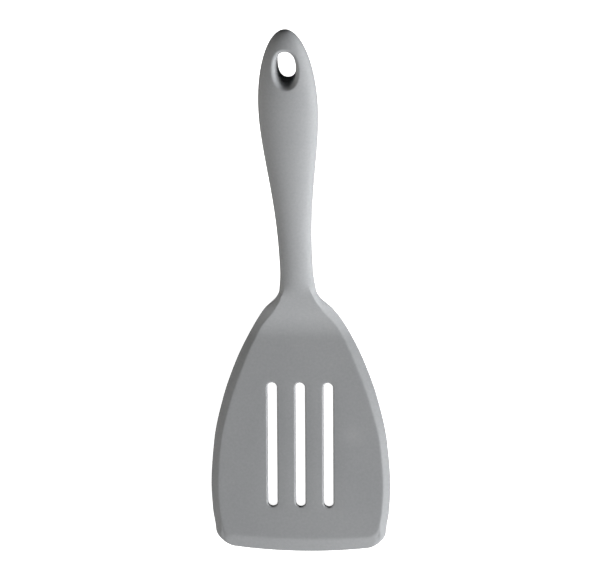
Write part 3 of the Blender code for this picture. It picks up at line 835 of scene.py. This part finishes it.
# Name, bearing from +X and height in degrees, power in watts, colour. A light below the floor
# stands for what the floor throws back, and the floor casts no shadow.
LIGHTS = (
    ("key_low", -12.0, 12.0, 21.7, (1.0, 1.0, 1.0)),
    ("key_high", -15.0, 20.0, 11.9, (1.0, 1.0, 1.0)),
    ("key_front", -35.0, 25.0, 6.8, (1.0, 1.0, 1.0)),
    ("key_rear", 5.0, 30.0, 6.2, (1.0, 1.0, 1.0)),
    ("front_fill", -80.0, 20.0, 10.6, (1.0, 1.0, 1.0)),
    ("left_fill", 190.0, 20.0, 10.7, (1.0, 0.97, 0.93)),
    ("left_front_fill", 215.0, 30.0, 1.1, (1.0, 0.97, 0.93)),
    ("bounce_right", -5.0, -14.0, 4.7, (1.0, 1.0, 1.0)),
    ("bounce_left", 185.0, -14.0, 2.1, (1.0, 0.97, 0.93)),
)
LIGHT_DISTANCE = 1.4
LIGHT_SIZE = 0.7
FLOOR_HALF_WIDTH = 3.0
FLOOR_CLEARANCE = 0.0001
CAMERA_TARGET = (0.0002, -0.002, 0.002)
CAMERA_ACROSS = math.radians(5.8)  # lean from upright towards +X
CAMERA_ALONG = math.radians(9.0)  # lean from upright towards the handle's tip
CAMERA_ROLL = math.radians(0.31)
CAMERA_DISTANCE = 2.0
CAMERA_LENS = 215.7  # millimetres


def area_light(name, bearing, height, power, colour):
    """Square soft light that looks at the tool from a direction."""
    data = bpy.data.lights.new(name, "AREA")
    data.shape = "SQUARE"
    data.size = LIGHT_SIZE
    data.energy = power
    data.color = colour
    light = bpy.data.objects.new(name, data)
    bpy.context.scene.collection.objects.link(light)
    turn, rise = math.radians(bearing), math.radians(height)
    level = math.cos(rise)
    back = Vector((level * math.cos(turn), level * math.sin(turn), math.sin(rise)))
    light.location = back * LIGHT_DISTANCE
    light.rotation_mode = "QUATERNION"
    light.rotation_quaternion = (-back).to_track_quat("-Z", "Y")


def camera():
    """Long-lens camera above the tool, leaning across and along it."""
    data = bpy.data.cameras.new("camera")
    data.sensor_width = 36.0
    data.lens = CAMERA_LENS
    data.clip_start = 0.05
    data.clip_end = 20.0
    obj = bpy.data.objects.new("camera", data)
    bpy.context.scene.collection.objects.link(obj)
    back = Vector((math.tan(CAMERA_ACROSS), math.tan(CAMERA_ALONG), 1.0)).normalized()
    up = (Vector((0.0, 1.0, 0.0)) - back * back.y).normalized()
    right = up.cross(back)
    top = up * math.cos(CAMERA_ROLL) + right * math.sin(CAMERA_ROLL)
    side = right * math.cos(CAMERA_ROLL) - up * math.sin(CAMERA_ROLL)
    turn = Matrix((side, top, back)).transposed()
    place = Vector(CAMERA_TARGET) + back * CAMERA_DISTANCE
    obj.matrix_world = Matrix.Translation(place) @ turn.to_4x4()
    bpy.context.scene.camera = obj


def studio():
    """Floor, lights and a white world that lights nothing."""
    world = bpy.data.worlds.new("studio")
    world.use_nodes = True
    background = world.node_tree.nodes["Background"]
    background.inputs["Color"].default_value = (1.0, 1.0, 1.0, 1.0)
    background.inputs["Strength"].default_value = 1.0
    world.cycles_visibility.diffuse = False
    world.cycles_visibility.glossy = False
    bpy.context.scene.world = world
    mesh = bpy.data.meshes.new("floor")
    half = FLOOR_HALF_WIDTH
    corners = [(-half, -half, 0), (half, -half, 0), (half, half, 0), (-half, half, 0)]
    mesh.from_pydata(corners, [], [(0, 1, 2, 3)])
    floor = bpy.data.objects.new("floor", mesh)
    floor.location.z = -FLOOR_CLEARANCE
    bpy.context.scene.collection.objects.link(floor)
    floor.visible_diffuse = False
    floor.visible_glossy = False
    floor.visible_shadow = False
    give(floor, pale_floor("pale_floor"))
    for row in LIGHTS:
        area_light(*row)
    bpy.context.scene.view_settings.view_transform = "Standard"


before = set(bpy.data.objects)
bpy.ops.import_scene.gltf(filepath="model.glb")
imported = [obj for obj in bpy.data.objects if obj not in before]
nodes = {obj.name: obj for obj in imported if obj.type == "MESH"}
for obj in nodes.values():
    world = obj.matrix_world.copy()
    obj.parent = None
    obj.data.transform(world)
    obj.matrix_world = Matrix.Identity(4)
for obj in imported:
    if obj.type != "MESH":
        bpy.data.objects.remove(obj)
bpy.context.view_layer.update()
rivets = ("rivet_front", "rivet_middle", "rivet_rear")
inside = [nodes[name] for name in ("blade_plate", "handle_core", *rivets)]
grey = silicone("matt_silicone", (0.211, 0.218, 0.226), (0.250, 0.257, 0.264))
skins = (("silicone_top", "top_skin", 1), ("silicone_underside", "bottom_skin", -1))
for piece, node, sign in skins:
    skin = make_skin(piece, sign)
    hollow(skin, inside)
    shade(skin, SHARP_DEGREES)
    give(skin, grey)
    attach(skin, "root")
    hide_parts(node)
give(nodes["blade_plate"], brushed_steel("brushed_spring_steel"))
give(nodes["handle_core"], filled_nylon("filled_nylon"))
rivet_metal = turned_steel("turned_rivet_steel")
for name in rivets:
    give(nodes[name], rivet_metal)
give(nodes["top_skin"], grey)
give(nodes["bottom_skin"], grey)
studio()
camera()
